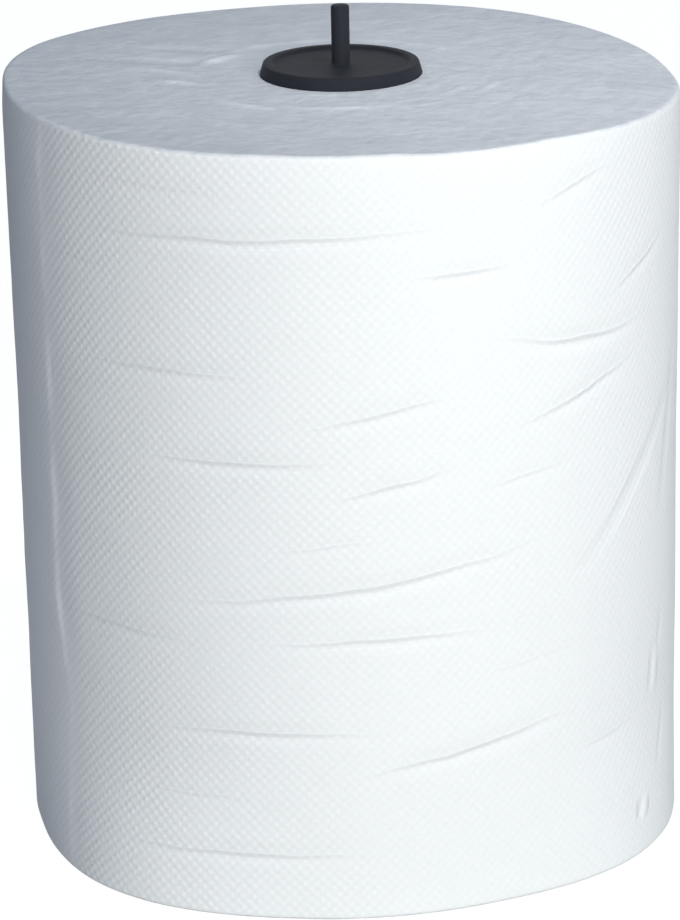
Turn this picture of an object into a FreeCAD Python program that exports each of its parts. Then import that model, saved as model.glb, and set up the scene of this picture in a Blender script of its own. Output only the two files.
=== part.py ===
import FreeCAD, Part
import math
import os
import Sketcher
from FreeCAD import Placement, Rotation, Vector

# Paper towel roll for a wall dispenser, standing on its lower end.
# A soft embossed web is wound on a cardboard core, and a moulded end plug with a thin
# pin is pushed into the core's upper end. Millimetres, +Z up. The origin is the centre
# of the lower end face, and the front of the roll looks along -Y.

# Driving dimensions
SIZES = [
    ("web_width", 210.0, "height of the roll, which is the width of the paper web"),
    ("roll_diameter", 184.0, "across the roll"),
    ("edge_bevel", 0.9, "bevel of the soft outer edges of both end faces"),
    ("core_bore", 38.0, "inside of the cardboard core"),
    ("core_wall", 1.5, "wall of the cardboard core"),
    ("core_setback", 0.8, "how far the core ends short of the lower end face"),
    ("seat_widening", 0.3, "how far the plug's barrel has pushed the bore open, on radius"),
    ("seat_margin", 1.0, "seat left below the barrel"),
    ("seat_taper", 1.5, "length over which the bore narrows again"),
    ("tail_angle", 211.5, "where the free edge of the last turn lies, from +X"),
    ("tail_wrap", 60.0, "stretch over which the last turn lifts off, in degrees"),
    ("tail_step", 0.7, "how far the free edge stands out"),
    ("tail_root", 0.15, "depth at which the lifting stretch starts"),
    ("tail_inset", 1.4, "how far the last turn ends short of each end face"),
    ("turn_first", 27.0, "radius at which the spiral line on an end face starts"),
    ("turn_pitch", 10.6, "distance between two turns of that line"),
    ("turn_depth", 0.4, "depth of that line"),
    ("turn_width", 1.1, "width of that line"),
    ("crease_depth", 0.6, "depth of a crease at its middle"),
    ("crease_upper", 0.5, "width of a crease's steep upper side"),
    ("crease_lower", 1.1, "width of a crease's flatter lower side"),
    ("flange_base", 44.4, "across the plug's flange where it lies on the end face"),
    ("flange_top", 42.4, "across the plug's flange at its top"),
    ("flange_height", 3.4, "height of the plug's flange"),
    ("flange_bevel", 0.5, "bevel of the flange's upper edge"),
    ("dish_depth", 0.8, "how far the flange's middle lies below its rim"),
    ("rim_width", 2.2, "width of that rim"),
    ("pin_diameter", 5.0, "across the plug's bearing pin"),
    ("pin_height", 15.5, "pin above the flange's rim"),
    ("pin_bevel", 0.6, "bevel of the pin's tip"),
    ("pin_foot", 0.8, "collar where the pin leaves the flange"),
    ("barrel_length", 28.0, "how far the plug's barrel reaches into the core"),
    ("barrel_wall", 1.6, "wall of the barrel"),
    ("rib_height", 0.8, "how far the gripping ribs stand out of the barrel"),
    ("rib_clearance", 0.05, "play between the ribs and the seat"),
    ("rib_width", 1.6, "width of a gripping rib"),
    ("rib_setback", 3.0, "how far the ribs end short of the barrel's mouth"),
    ("lead_in", 1.0, "chamfer at the barrel's mouth"),
    ("overlap", 0.4, "how far an added piece reaches into what it joins"),
]
HALF_TURN_COUNT = 11
RIB_COUNT = 8

# A crease is at most this share of the depth at which a straight cut would be as long,
# and its cutter turns this much further than the crease is long
CREASE_SHARE = 0.6
CREASE_OVERRUN = 1.15

# Cubic millimetres that every cut has to take away
LEAST_CUT = 1.0

# Creases of the outer turns as the photo shows them: the direction of the middle from
# +X in degrees, its height as a share of the web's width, half the crease's angle, and
# its rise over the whole length in millimetres
CREASES = [
    (257, 0.897, 28, 4),
    (238, 0.719, 14, 1),
    (251, 0.610, 16, 2),
    (275, 0.676, 11, 7),
    (312, 0.745, 15, -3),
    (312, 0.671, 13, 10),
    (277, 0.583, 9, 7),
    (272, 0.455, 31, 14),
    (229, 0.367, 12, 1),
    (275, 0.379, 17, 2),
    (255, 0.252, 18, 2),
    (290, 0.224, 19, 10),
    (250, 0.087, 22, 2),
    (289, 0.848, 8, 0),
    (328, 0.810, 9, 8),
    (237, 0.955, 12, -2),
]


class Size:
    """A length that keeps the formula it comes from, so that it can drive a constraint."""

    def __init__(self, value, formula):
        self.value = float(value)
        self.formula = formula

    def __add__(self, other):
        other = as_size(other)
        return Size(self.value + other.value, f"({self.formula} + {other.formula})")

    def __sub__(self, other):
        other = as_size(other)
        return Size(self.value - other.value, f"({self.formula} - {other.formula})")

    def __mul__(self, factor):
        return Size(self.value * factor, f"({self.formula} * {factor})")

    def __truediv__(self, divisor):
        return Size(self.value / divisor, f"({self.formula} / {divisor})")

    def __neg__(self):
        return Size(-self.value, f"(0 - {self.formula})")


def as_size(value):
    return value if isinstance(value, Size) else Size(value, str(value))


doc = FreeCAD.newDocument("paper_towel_roll")
sheet = doc.addObject("Spreadsheet::Sheet", "sizes")
size = {}
for row, (word, number, meaning) in enumerate(SIZES, start=1):
    sheet.set(f"A{row}", meaning)
    sheet.set(f"B{row}", str(number))
    sheet.setAlias(f"B{row}", word)
    size[word] = Size(number, f"sizes.{word}")
doc.recompute()

# Radii and heights that several pieces share
ZERO = Size(0, "0")
top = size["web_width"]
roll_radius = size["roll_diameter"] / 2
bore_radius = size["core_bore"] / 2
core_radius = bore_radius + size["core_wall"]
seat_radius = bore_radius + size["seat_widening"]
rib_radius = seat_radius - size["rib_clearance"]
barrel_radius = rib_radius - size["rib_height"]
barrel_inside = barrel_radius - size["barrel_wall"]
barrel_mouth = top - size["barrel_length"]

# A sketch's own origin as a point, and the upright direction
ORIGIN = (-1, 1)
UPRIGHT = Vector(0, 0, 1)


def new_body(label):
    body = doc.addObject("PartDesign::Body", label)
    body.Label = label
    return body


def new_sketch(body, name, plane, offset=None):
    """A sketch on one of the body's own planes, moved and turned by the offset."""
    sketch = body.newObject("Sketcher::SketchObject", name)
    for feature in body.Origin.OriginFeatures:
        if feature.Role == plane:
            sketch.AttachmentSupport = (feature, [""])
    sketch.MapMode = "FlatFace"
    if offset is not None:
        sketch.AttachmentOffset = offset
    return sketch


def hold(sketch, kind, first, second, length):
    """Set a distance between two points of a sketch and bind it to the sheet."""
    number = sketch.addConstraint(
        Sketcher.Constraint(kind, first[0], first[1], second[0], second[1], length.value)
    )
    sketch.setExpression(f"Constraints[{number}]", length.formula)


def place(sketch, point, x, y):
    """Hold a sketch point at x and y from the sketch's origin."""
    for kind, length, axis in (("DistanceX", x, -2), ("DistanceY", y, -1)):
        if length.value == 0:
            sketch.addConstraint(
                Sketcher.Constraint("PointOnObject", point[0], point[1], axis)
            )
        else:
            hold(sketch, kind, ORIGIN, point, length)


def closed_outline(sketch, corners):
    """Draw a closed outline of straight lines through corners and hold each of them."""
    spots = [Vector(x.value, y.value, 0) for x, y in corners]
    lines = []
    for start, end in zip(spots, spots[1:] + spots[:1]):
        lines.append(sketch.addGeometry(Part.LineSegment(start, end), False))
    for this, following in zip(lines, lines[1:] + lines[:1]):
        sketch.addConstraint(Sketcher.Constraint("Coincident", this, 2, following, 1))
    for line, (x, y) in zip(lines, corners):
        place(sketch, (line, 1), x, y)


def revolve(body, name, sketch):
    turned = body.newObject("PartDesign::Revolution", name)
    turned.Profile = sketch
    turned.ReferenceAxis = (sketch, ["V_Axis"])
    turned.Angle = 360
    doc.recompute()


def cut_round(body, name, sketch, angle, middle=False, backwards=False):
    """Turn a sketch about its own upright axis and take that away."""
    doc.recompute()
    before = body.Shape.Volume
    cut = body.newObject("PartDesign::Groove", name)
    cut.Profile = sketch
    cut.ReferenceAxis = (sketch, ["V_Axis"])
    cut.Angle = angle
    cut.Midplane = middle
    cut.Reversed = backwards
    doc.recompute()
    if before - body.Shape.Volume < LEAST_CUT:
        raise RuntimeError(f"{name} takes too little away")


def ring_edges(shape, radius, height):
    """Names of the circular edges with this radius at this height."""
    found = []
    for number, edge in enumerate(shape.Edges, start=1):
        curve = edge.Curve
        if not isinstance(curve, Part.Circle):
            continue
        same_radius = abs(curve.Radius - radius.value) < 1e-4
        same_height = abs(curve.Center.z - height.value) < 1e-4
        if same_radius and same_height:
            found.append(f"Edge{number}")
    return found


def bevel_edges(body, name, rings, width_word):
    """Bevel circular edges, each given by its radius and height."""
    base = body.Tip
    names = []
    for radius, height in rings:
        names += ring_edges(base.Shape, radius, height)
    bevel = body.newObject("PartDesign::Chamfer", name)
    bevel.Base = (base, names)
    bevel.setExpression("Size", f"sizes.{width_word}")
    doc.recompute()


def pad_down(body, name, sketch, length):
    pad = body.newObject("PartDesign::Pad", name)
    pad.Profile = sketch
    pad.setExpression("Length", length.formula)
    pad.Reversed = True
    doc.recompute()
    return pad


def repeat_round(body, name, feature, count):
    """Repeat a feature evenly round the roll's axis."""
    pattern = body.newObject("PartDesign::PolarPattern", name)
    pattern.Originals = [feature]
    for axis in body.Origin.OriginFeatures:
        if axis.Role == "Z_Axis":
            pattern.Axis = (axis, [""])
    pattern.Angle = 360
    pattern.Occurrences = count
    body.Tip = pattern
    doc.recompute()


def cut_turn_line(body, end_name, face_height, inward):
    """Cut the spiral line of the turns into one end face.

    The line is made of half circles about two centres, half a pitch apart, so that each
    half runs smoothly into the next. inward is -1 for the upper face and 1 for the lower.
    The section stands as far out of the face as it goes in, so it is twice as wide there.
    """
    pitch = size["turn_pitch"]
    depth = size["turn_depth"]
    half_width = size["turn_width"] / 2
    for half, side, first, backwards in (("a", -1, 0, False), ("b", 1, 1, True)):
        centre = Placement(Vector(side * pitch.value / 4, 0, 0), Rotation())
        sketch = new_sketch(body, f"{end_name}_{half}_section", "XZ_Plane", centre)
        sketch.setExpression("AttachmentOffset.Base.x", f"{side} * sizes.turn_pitch / 4")
        for half_turn in range(first, HALF_TURN_COUNT, 2):
            reach = size["turn_first"] + pitch * (half_turn / 2)
            deep = face_height + depth * inward
            clear = face_height - depth * inward
            closed_outline(
                sketch,
                [
                    (reach, deep),
                    (reach + half_width * 2, clear),
                    (reach - half_width * 2, clear),
                ],
            )
        cut_round(body, f"{end_name}_{half}", sketch, 180, backwards=backwards)


def cut_crease(body, number, direction, height_share, half_angle, rise):
    """Cut one crease: a shallow groove, deepest at its middle and running out at both ends.

    The groove's bottom is an arc flatter than the roll, so its centre lies behind the
    roll's axis. The arc is tipped about the crease's middle to give the crease its rise.
    """
    radius = roll_radius.value
    half = math.radians(half_angle)
    tip = math.atan2(rise / 2, radius * math.sin(half))
    straight_depth = radius * (1 - math.cos(half))
    depth = min(size["crease_depth"].value, CREASE_SHARE * straight_depth)
    end_x = radius * math.cos(half)
    end_y = radius * math.sin(half) / math.cos(tip)
    bottom = radius - depth
    setback = (end_x**2 + end_y**2 - bottom**2) / (2 * (bottom - end_x))
    sweep = 2 * CREASE_OVERRUN * math.degrees(math.atan2(end_y, end_x + setback))
    turn = math.radians(direction)
    height = top.value * height_share
    base = Vector(-setback * math.cos(turn), height, setback * math.sin(turn))
    turned = Rotation(Vector(0, 1, 0), direction)
    tipped = Rotation(Vector(1, 0, 0), math.degrees(tip))
    offset = Placement(base, turned * tipped)
    sketch = new_sketch(body, f"crease_{number}_section", "XZ_Plane", offset)
    sketch.setExpression("AttachmentOffset.Base.y", f"sizes.web_width * {height_share}")
    apex = roll_radius + (setback - depth)
    outer = apex + size["crease_depth"] * 2
    closed_outline(
        sketch,
        [
            (apex, ZERO),
            (outer, -size["crease_lower"] * 2),
            (outer, size["crease_upper"] * 2),
        ],
    )
    cut_round(body, f"crease_{number}", sketch, sweep, middle=True)


def add_tail(body):
    """Add the last stretch of the web, which lifts off the roll towards its free edge.

    In the sketch the free edge lies on the x axis and the web comes from below it.
    """
    wrap = math.radians(size["tail_wrap"].value)
    root_radius = roll_radius - size["tail_root"]
    edge_radius = roll_radius + size["tail_step"]
    inner_radius = roll_radius - size["overlap"]
    start = Vector(math.cos(wrap), -math.sin(wrap), 0)
    gained = edge_radius.value**2 - root_radius.value**2
    offset = gained / (2 * (root_radius.value - edge_radius.value * math.cos(wrap)))
    centre = start * -offset
    lift_radius = root_radius.value + offset
    first_angle = math.atan2(start.y, start.x)
    last_angle = math.atan2(-centre.y, edge_radius.value - centre.x)

    lifted = Vector(0, 0, size["tail_inset"].value)
    turned = Rotation(UPRIGHT, size["tail_angle"].value)
    sketch = new_sketch(body, "tail_section", "XY_Plane", Placement(lifted, turned))
    sketch.setExpression("AttachmentOffset.Base.z", "sizes.tail_inset")
    sketch.setExpression("AttachmentOffset.Rotation.Angle", "sizes.tail_angle")
    edge_top = Vector(edge_radius.value, 0, 0)
    edge_foot = Vector(inner_radius.value, 0, 0)
    outer_circle = Part.Circle(centre, UPRIGHT, lift_radius)
    inner_circle = Part.Circle(Vector(), UPRIGHT, inner_radius.value)
    outer_arc = sketch.addGeometry(
        Part.ArcOfCircle(outer_circle, first_angle, last_angle), False
    )
    edge_line = sketch.addGeometry(Part.LineSegment(edge_top, edge_foot), False)
    inner_arc = sketch.addGeometry(Part.ArcOfCircle(inner_circle, -wrap, 0), False)
    root_line = sketch.addGeometry(
        Part.LineSegment(start * inner_radius.value, start * root_radius.value), False
    )
    ray = sketch.addGeometry(
        Part.LineSegment(Vector(), start * inner_radius.value), True
    )
    rule = Sketcher.Constraint
    for first, second in (
        ((outer_arc, 2), (edge_line, 1)),
        ((edge_line, 2), (inner_arc, 2)),
        ((inner_arc, 1), (root_line, 1)),
        ((root_line, 2), (outer_arc, 1)),
        ((inner_arc, 3), ORIGIN),
        ((ray, 1), ORIGIN),
        ((ray, 2), (inner_arc, 1)),
    ):
        sketch.addConstraint(rule("Coincident", first[0], first[1], second[0], second[1]))
    sketch.addConstraint(rule("PointOnObject", outer_arc, 3, ray))
    sketch.addConstraint(rule("PointOnObject", root_line, 2, ray))
    place(sketch, (edge_line, 1), edge_radius, ZERO)
    place(sketch, (edge_line, 2), inner_radius, ZERO)
    hold(sketch, "Distance", ORIGIN, (root_line, 2), root_radius)
    corner = sketch.addConstraint(rule("Angle", -1, 1, ray, 1, -wrap))
    sketch.setExpression(f"Constraints[{corner}]", "-1 deg * sizes.tail_wrap")
    pad = body.newObject("PartDesign::Pad", "tail")
    pad.Profile = sketch
    pad.setExpression("Length", "sizes.web_width - 2 * sizes.tail_inset")
    doc.recompute()


def make_paper_roll():
    """The wound web, with its spiral lines, the free edge of the last turn and creases."""
    body = new_body("paper_roll")
    section = new_sketch(body, "roll_section", "XZ_Plane")
    closed_outline(
        section,
        [
            (core_radius, ZERO),
            (roll_radius, ZERO),
            (roll_radius, top),
            (core_radius, top),
        ],
    )
    revolve(body, "wound_web", section)
    bevel_edges(body, "soft_edges", [(roll_radius, ZERO), (roll_radius, top)], "edge_bevel")
    add_tail(body)
    cut_turn_line(body, "upper_turns", top, -1)
    cut_turn_line(body, "lower_turns", ZERO, 1)
    for number, crease in enumerate(CREASES, start=1):
        cut_crease(body, number, *crease)
    return body


def make_core_tube():
    """The cardboard core, pushed slightly open where the plug's barrel sits."""
    body = new_body("core_tube")
    section = new_sketch(body, "tube_section", "XZ_Plane")
    seat_end = barrel_mouth - size["seat_margin"]
    closed_outline(
        section,
        [
            (bore_radius, size["core_setback"]),
            (core_radius, size["core_setback"]),
            (core_radius, top),
            (seat_radius, top),
            (seat_radius, seat_end),
            (bore_radius, seat_end - size["seat_taper"]),
        ],
    )
    revolve(body, "tube", section)
    return body


def make_end_plug():
    """The moulded plug: dished flange, bearing pin, and the ribbed barrel in the core."""
    body = new_body("end_plug")
    section = new_sketch(body, "plug_section", "XZ_Plane")
    rim = top + size["flange_height"]
    dish = rim - size["dish_depth"]
    tip = rim + size["pin_height"]
    pin_radius = size["pin_diameter"] / 2
    rim_radius = size["flange_top"] / 2
    dish_radius = rim_radius - size["rim_width"]
    closed_outline(
        section,
        [
            (ZERO, tip),
            (pin_radius, tip),
            (pin_radius, dish),
            (dish_radius - size["dish_depth"], dish),
            (dish_radius, rim),
            (rim_radius, rim),
            (size["flange_base"] / 2, top),
            (barrel_radius, top),
            (barrel_radius, barrel_mouth + size["lead_in"]),
            (barrel_radius - size["lead_in"] / 2, barrel_mouth),
            (barrel_inside, barrel_mouth),
            (barrel_inside, top),
            (ZERO, top),
        ],
    )
    revolve(body, "moulding", section)
    bevel_edges(body, "pin_tip", [(pin_radius, tip)], "pin_bevel")
    bevel_edges(body, "pin_collar", [(pin_radius, dish)], "pin_foot")
    bevel_edges(body, "flange_edge", [(rim_radius, rim)], "flange_bevel")

    on_flange = Placement(Vector(0, 0, top.value), Rotation())
    rib_section = new_sketch(body, "rib_section", "XY_Plane", on_flange)
    rib_section.setExpression("AttachmentOffset.Base.z", "sizes.web_width")
    rib_foot = barrel_radius - size["overlap"]
    rib_half = size["rib_width"] / 2
    closed_outline(
        rib_section,
        [
            (rib_foot, -rib_half),
            (rib_radius, -rib_half),
            (rib_radius, rib_half),
            (rib_foot, rib_half),
        ],
    )
    rib = pad_down(body, "rib", rib_section, size["barrel_length"] - size["rib_setback"])
    repeat_round(body, "ribs", rib, RIB_COUNT)
    return body


pieces = [make_paper_roll(), make_core_tube(), make_end_plug()]
doc.recompute()

# Nothing is written unless every object is sound
for item in doc.Objects:
    if "Invalid" in item.State or "Error" in item.State:
        raise RuntimeError(f"{item.Label} did not build: {item.State}")
os.makedirs("parts", exist_ok=True)
for piece in pieces:
    shape = piece.Shape
    if shape.isNull() or not shape.isValid() or len(shape.Solids) != 1:
        raise RuntimeError(f"{piece.Label} is not one sound solid")
    shape.exportStep(f"parts/{piece.Label}.step")
    print(piece.Label, round(shape.Volume), "cubic millimetres")
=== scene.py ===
# %% [markdown]
# # A paper towel roll, dressed from its CAD frame
#
# The object is a roll of embossed paper hand towel, wound on a cardboard core, with a
# black moulded plug and its thin bearing pin in the upper end. The solids say where
# everything is. This notebook gives each piece the surface that the real one has.
#
# ## Load the frame
#
# The imported solids come in as a fixed frame in metres.

# %% Load the frame
import math
import bpy
from mathutils import Matrix, Vector


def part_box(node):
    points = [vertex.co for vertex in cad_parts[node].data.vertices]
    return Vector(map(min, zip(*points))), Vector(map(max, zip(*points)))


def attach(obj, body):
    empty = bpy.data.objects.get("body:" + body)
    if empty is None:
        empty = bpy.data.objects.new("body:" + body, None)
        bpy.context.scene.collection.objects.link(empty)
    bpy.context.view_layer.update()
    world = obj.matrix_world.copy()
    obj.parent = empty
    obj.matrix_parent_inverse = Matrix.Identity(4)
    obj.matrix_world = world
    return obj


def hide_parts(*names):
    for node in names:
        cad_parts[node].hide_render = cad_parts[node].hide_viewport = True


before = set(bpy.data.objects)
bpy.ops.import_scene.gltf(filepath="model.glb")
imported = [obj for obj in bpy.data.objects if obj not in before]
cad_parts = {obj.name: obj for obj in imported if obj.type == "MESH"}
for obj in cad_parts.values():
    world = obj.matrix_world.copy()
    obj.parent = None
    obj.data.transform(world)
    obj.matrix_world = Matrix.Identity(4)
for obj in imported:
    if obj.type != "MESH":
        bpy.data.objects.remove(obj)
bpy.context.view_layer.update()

# %% [markdown]
# ## Measure the pieces
#
# Radii and heights are read off the solids where a box can give them. The few that a box
# can't give, such as the bore of the core, repeat the dimensions of the construction.

# %% Sizes in metres
MM = 0.001
web_low, web_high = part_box("paper_roll")
plug_low, plug_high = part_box("end_plug")
roll_height = web_high[2]
roll_radius = web_high[0]
core_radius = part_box("core_tube")[1][0]
flange_radius = plug_high[0]
barrel_mouth = plug_low[2]
pin_tip = plug_high[2]
print("roll", round(roll_radius / MM, 2), "x", round(roll_height / MM, 2), "mm, pin tip at",
      round(pin_tip / MM, 2), "mm")

# %% [markdown]
# ## Formulas as nodes
#
# Almost everything on a wound roll follows a rule: the surface is turned round an axis,
# the embossing repeats, a crease is a line with a height and a rise. A rule is easiest to
# read as a formula, so `Term` lets a socket take part in ordinary arithmetic and adds one
# Math node for each sign. It works in geometry trees and in shader trees alike.

# %% Arithmetic on sockets
class Term:
    """A value in a node tree that can be added, multiplied and so on."""

    def __init__(self, tree, socket):
        self.tree = tree
        self.socket = socket

    def sum_of(self, kind, *others):
        node = self.tree.nodes.new("ShaderNodeMath")
        node.operation = kind
        for number, value in enumerate((self, *others)):
            feed(self.tree, node.inputs[number], value)
        return Term(self.tree, node.outputs[0])

    def __add__(self, other):
        return self.sum_of("ADD", other)

    def __sub__(self, other):
        return self.sum_of("SUBTRACT", other)

    def __mul__(self, other):
        return self.sum_of("MULTIPLY", other)

    def __truediv__(self, other):
        return self.sum_of("DIVIDE", other)

    def __neg__(self):
        return self.sum_of("MULTIPLY", -1.0)

    def one_minus(self):
        return (-self) + 1.0


def feed(tree, socket, value):
    """Give a node's input a link or a plain value."""
    if isinstance(value, Term):
        tree.links.new(value.socket, socket)
    else:
        socket.default_value = value


def between(value, start, end):
    """0 before start, 1 after end, and a straight ramp between them."""
    ramp = (value - start) / (end - start)
    ramp.socket.node.use_clamp = True
    return ramp


def sine(value):
    return value.sum_of("SINE")


def cosine(value):
    return value.sum_of("COSINE")


def larger(value, other):
    return value.sum_of("MAXIMUM", other)


def bell(value, middle, width):
    """1 at the middle, falling smoothly to 0 over the width on both sides."""
    away = (value - middle) / width
    return larger((away * away).one_minus(), 0.0)


def total_of(terms):
    """The sum of one or more terms."""
    terms = list(terms)
    total = terms[0]
    for term in terms[1:]:
        total = total + term
    return total


print("arithmetic ready")

# %% [markdown]
# ## Nodes and groups
#
# The other tools of this notebook add one node and feed its inputs by name, or open and
# close a node group with named sockets. Unevenness comes from one noise that runs from -1
# to 1 and takes its grain as grains per metre. Its seed moves the place that is looked up,
# so a seed that stays the same gives the same paper each time.

# %% Nodes, noise and groups
def add_node(tree, kind, **inputs):
    """A new node with its inputs fed by name; an underscore stands for a space."""
    node = tree.nodes.new(kind)
    for name, value in inputs.items():
        feed(tree, node.inputs[name.replace("_", " ")], value)
    return node


def out(tree, node, name=0):
    return Term(tree, node.outputs[name])


def vector_of(tree, x, y, z):
    return out(tree, add_node(tree, "ShaderNodeCombineXYZ", X=x, Y=y, Z=z))


def soft_noise(tree, place, scale, detail=1.0, seed=0.0):
    """Noise from -1 to 1 at a place, with its grain size given as grains per metre."""
    moved = tree.nodes.new("ShaderNodeVectorMath")
    feed(tree, moved.inputs[0], place)
    feed(tree, moved.inputs[1], vector_of(tree, seed * 0.37, seed * 0.59, seed * 0.83))
    node = add_node(tree, "ShaderNodeTexNoise", Vector=out(tree, moved), Scale=scale,
                    Detail=detail)
    return (out(tree, node, 0) - 0.5) * 2.0


def new_tree(name, kind, inputs, outputs):
    """A node group with named sockets. Returns it with its inputs as terms."""
    tree = bpy.data.node_groups.new(name, kind)
    for label, socket_type, value in inputs:
        socket = tree.interface.new_socket(label, in_out="INPUT", socket_type=socket_type)
        if value is not None:
            socket.default_value = value
    for label, socket_type in outputs:
        tree.interface.new_socket(label, in_out="OUTPUT", socket_type=socket_type)
    entry = tree.nodes.new("NodeGroupInput")
    terms = {label: Term(tree, entry.outputs[label]) for label, _, _ in inputs}
    return tree, terms


def finish_tree(tree, **results):
    leave = tree.nodes.new("NodeGroupOutput")
    for name, value in results.items():
        feed(tree, leave.inputs[name.replace("_", " ")], value)


def use_group(tree, group, **inputs):
    kind = "GeometryNodeGroup" if tree.bl_idname == "GeometryNodeTree" else "ShaderNodeGroup"
    node = tree.nodes.new(kind)
    node.node_tree = group
    for name, value in inputs.items():
        feed(tree, node.inputs[name.replace("_", " ")], value)
    return node


print("node tools ready")

# %% [markdown]
# ## What the roll has been through
#
# The outer turns of the web carry creases from winding and packing. Each row gives one:
# where its middle is, half its length as an angle, its rise from left to right, how far
# its middle sags below its ends, its width and its depth. They were read off the
# photograph, the strong ones first. The list begins with the same creases as the solids
# and adds the fainter ones. A crease could also be a curve drawn on the wall, but a row
# of numbers is easier to move or to deepen.

# %% Creases of the outer turns
CREASES = [
    # direction, height, half angle in degrees; rise, sag, width and depth in millimetres
    (254, 187.9, 37, 5, 0, 0.80, 0.30),
    (238, 151.0, 18, 1, 0, 0.75, 0.22),
    (251, 128.0, 20, 2, 0, 0.80, 0.28),
    (275, 142.0, 14, 9, -0.8, 0.75, 0.24),
    (312, 154.5, 19, -5, 3.6, 0.85, 0.30),
    (312, 139.8, 16, 13, 1.2, 0.80, 0.26),
    (277, 122.5, 12, 9, 0, 0.75, 0.26),
    (272, 94.6, 36, 17, 2.0, 0.85, 0.32),
    (228, 77.0, 17, 1, -0.6, 0.85, 0.19),
    (275, 80.2, 21, 2, -0.9, 0.80, 0.26),
    (255, 53.2, 22, 3, -0.5, 0.80, 0.28),
    (290, 47.2, 23, 13, -0.8, 0.85, 0.30),
    (250, 18.5, 26, 2, -0.9, 0.80, 0.28),
    (289, 178.0, 10, 0, 0, 0.75, 0.24),
    (328, 169.5, 11, 14, 1.0, 0.75, 0.20),
    (237, 200.0, 17, -2, 0.8, 0.85, 0.10),
    (310, 196.5, 9, 8, 0, 0.80, 0.20),
    (221, 176.7, 10, -1, 0, 0.80, 0.09),
    (217, 142.5, 9, 0, 0, 0.80, 0.08),
    (318, 40.2, 10, 3, 0, 0.70, 0.11),
    (266, 106.0, 10, 3, 0, 0.60, 0.10),
    (300, 121.0, 11, 5, 0, 0.60, 0.12),
    (243, 34.0, 12, 1, 0, 0.60, 0.10),
    (301, 69.0, 12, 4, 0, 0.60, 0.07),
]
print(len(CREASES), "creases")

# %% [markdown]
# ## Steep wrinkles and a nick
#
# At the right a few wrinkles run almost upright, probably where the outer turns were
# pushed round against the ones below. Near the foot the paper has a small nick with a raised lip. Each
# row gives a direction, a height, half its length, how far its upper end leans to the
# right, half its width and its depth. A negative depth stands up instead.

# %% Steep wrinkles
WRINKLES = [
    # direction in degrees; height, half height, lean, half width and depth in millimetres
    (326, 109.0, 22, 25.7, 5.0, 0.30),
    (333.0, 50.5, 7.5, 1.0, 1.9, 0.26),
    (335.2, 50.0, 7.5, 1.0, 2.0, -0.26),
    (336.8, 29.5, 10, 4.5, 2.1, 0.20),
    (337.0, 60.0, 8, 2.0, 2.4, 0.18),
    (341, 118.0, 25, 8.0, 3.5, 0.24),
    (326.5, 13.2, 3.2, 0.4, 1.8, 0.42),
    (328.7, 13.4, 3.2, 0.4, 1.9, -0.42),
]
print(len(WRINKLES), "wrinkles, lips and nicks")

# %% [markdown]
# ## Where the roll is out of true
#
# A soft roll that has stood on its end isn't a cylinder any more. Its foot bulges at the
# front left and at the front right and is flatter between them, and the wall is drawn in
# a little at both sides. Each row is one smooth swelling; a negative rise draws in. The
# upper rim dips by less than a millimetre in five places. Their directions are counted
# on from the free edge, so 364 stands for 4 degrees and 500 for 140.

# %% Bulges and dips
BULGES = [
    # direction and half angle in degrees; height, half height and rise in millimetres
    (227.5, 35, -10, 56, 4.8),
    (211, 14, -10, 80, -0.3),
    (188, 24, -10, 60, -0.45),
    (186, 26, 100, 180, -0.35),
    (196, 20, 90, 110, -0.5),
    (288, 38, -10, 60, -1.5),
    (328, 35, -10, 54, 3.1),
    (354, 18, -10, 60, -0.45),
    (354, 20, 100, 45, -0.35),
    (148, 42, 220, 120, 4.2),
]
RIM_DIPS = [
    # direction and half width in degrees, depth in millimetres, along the upper rim
    (292, 14, 0.85),
    (322, 24, 0.75),
    (233, 22, 0.45),
    (500, 14, 0.25),
    (364, 14, 0.70),
]
print(len(BULGES), "bulges and", len(RIM_DIPS), "dips of the rim")

# %% [markdown]
# ## The wound web
#
# The web is one length of paper wound from the core to its free edge, so its outside is a
# surface that runs once round the axis and doesn't quite close: it comes back one
# thickness further out, at the free edge on the left. A grid is bent into that shape by a
# formula. Its rows follow the half section: lower end face, soft lower edge, wall, soft
# upper edge, upper end face and the bore. Its columns start at the free edge, and the
# last few turn down over it.
#
# A cylinder with sculpted changes would do for one picture. The grid with a formula was
# chosen because every crease and bulge then stays a number.

# %% Rows and columns of the grid
ROWS = [("lower face", 74), ("lower edge", 4), ("wall", 250), ("upper edge", 4),
        ("upper face", 74), ("bore", 6)]
ROW_COUNT = sum(count for _, count in ROWS)
COLUMNS = 212
EDGE_COLUMNS = 6


def web_grid(tree):
    """A flat grid, and the numbers of a point's column and row."""
    grid = tree.nodes.new("GeometryNodeMeshGrid")
    grid.inputs["Vertices X"].default_value = COLUMNS + 1
    grid.inputs["Vertices Y"].default_value = ROW_COUNT + 1
    spot = tree.nodes.new("GeometryNodeInputPosition")
    spot = add_node(tree, "ShaderNodeSeparateXYZ", Vector=out(tree, spot))
    column = (out(tree, spot, "X") + 0.5) * COLUMNS
    row = (out(tree, spot, "Y") + 0.5) * ROW_COUNT
    return out(tree, grid, "Mesh"), column, row


print("grid of", COLUMNS, "columns and", ROW_COUNT, "rows")

# %% [markdown]
# ## The half section
#
# Each row number is turned into a radius and a height. A stretch of the half section
# counts from 0 to 1 while the rows walk along it, so the flat faces are straight ramps and
# the soft edges are quarter circles. Where the wall begins and ends is kept as well,
# because creases and the free edge belong to the wall only.

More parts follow.
